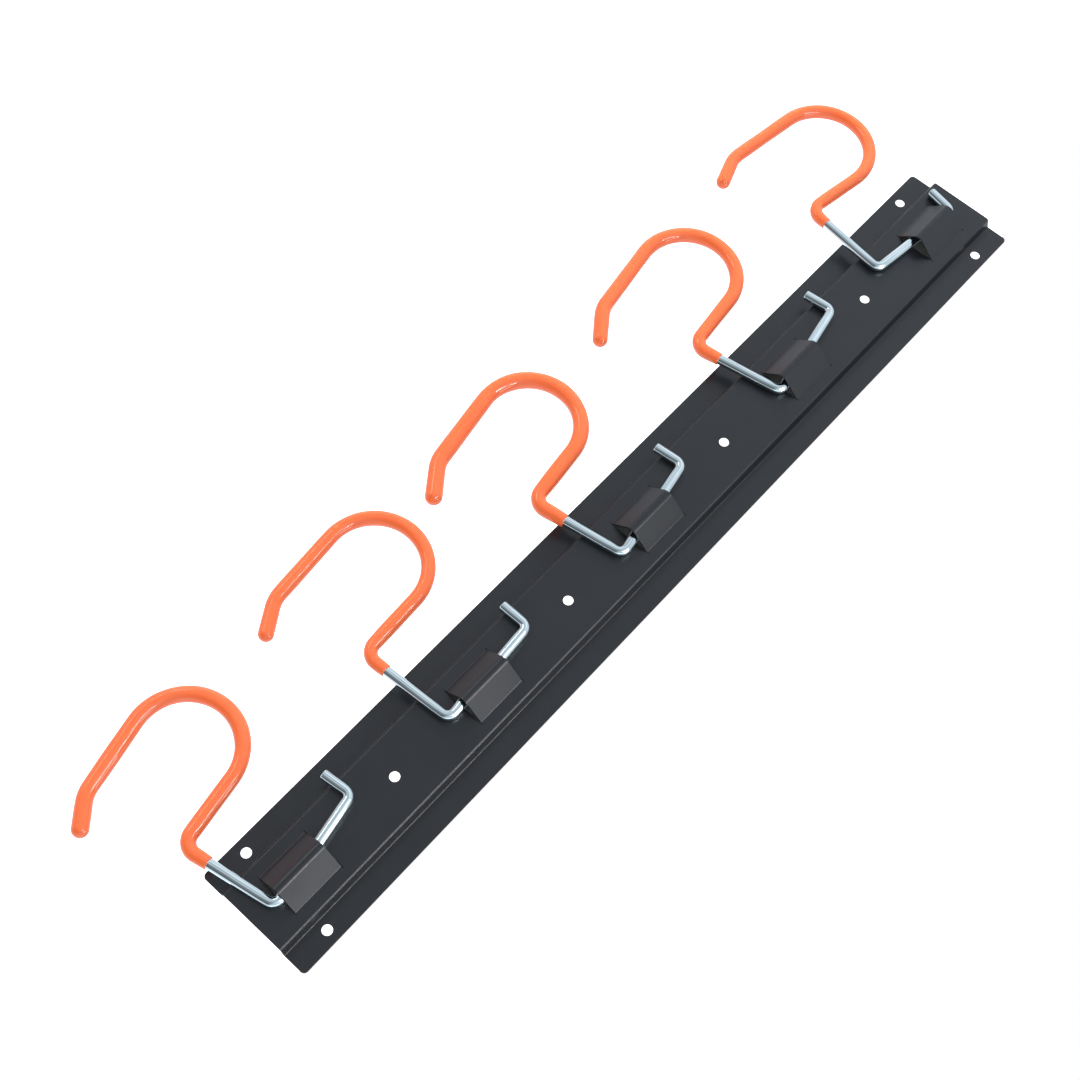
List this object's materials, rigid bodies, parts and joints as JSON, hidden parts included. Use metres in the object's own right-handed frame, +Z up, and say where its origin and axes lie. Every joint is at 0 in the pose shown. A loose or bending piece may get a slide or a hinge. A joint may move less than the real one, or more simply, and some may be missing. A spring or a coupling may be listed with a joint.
{
  "type": "wall tool organizer",
  "caption": "Wall-mounted tool organizer: a pressed steel rail whose lanced bridges carry swinging wire hooks with soft orange dipped ends, for hanging long-handled tools.",
  "frame": {"origin": "centre of the four corner screw holes, on the wall plane (back faces of the two flanges)", "axes": "+X along the rail to the right seen from the front, +Z up the wall, +Y into the wall; the front faces -Y"},
  "size_m": [0.9615, 0.0267, 0.2453],
  "materials": {
    "powder_coated_steel": "satin black powder coat",
    "zinc_plated_wire": "bright zinc plate",
    "dipped_vinyl": "glossy orange dipped vinyl"
  },
  "bodies": {
    "rail_body": {"rail": "powder_coated_steel"},
    "hook_1": {"hook_1_wire": "zinc_plated_wire", "hook_1_coating": "dipped_vinyl"},
    "hook_2": {"hook_2_wire": "zinc_plated_wire", "hook_2_coating": "dipped_vinyl"},
    "hook_3": {"hook_3_wire": "zinc_plated_wire", "hook_3_coating": "dipped_vinyl"},
    "hook_4": {"hook_4_wire": "zinc_plated_wire", "hook_4_coating": "dipped_vinyl"},
    "hook_5": {"hook_5_wire": "zinc_plated_wire", "hook_5_coating": "dipped_vinyl"}
  },
  "joints": [
    {"name": "hook_1_swing", "type": "hinge", "parent": "rail_body", "child": "hook_1", "pos_m": [-0.38632, -0.0155, -0.00442], "axis": [-0.9936, 0, 0.1129], "range_deg": [0, 172]},
    {"name": "hook_2_swing", "type": "hinge", "parent": "rail_body", "child": "hook_2", "pos_m": [-0.22196, -0.0155, -0.00381], "axis": [-0.9825, 0, -0.1861], "range_deg": [0, 180]},
    {"name": "hook_3_swing", "type": "hinge", "parent": "rail_body", "child": "hook_3", "pos_m": [-0.00816, -0.0155, -0.00206], "axis": [-0.9847, 0, -0.1741], "range_deg": [0, 180]},
    {"name": "hook_4_swing", "type": "hinge", "parent": "rail_body", "child": "hook_4", "pos_m": [0.19318, -0.0155, -0.00386], "axis": [-0.9974, 0, -0.0714], "range_deg": [0, 180]},
    {"name": "hook_5_swing", "type": "hinge", "parent": "rail_body", "child": "hook_5", "pos_m": [0.38762, -0.0155, -0.00371], "axis": [-0.9825, 0, -0.1861], "range_deg": [0, 180]}
  ]
}
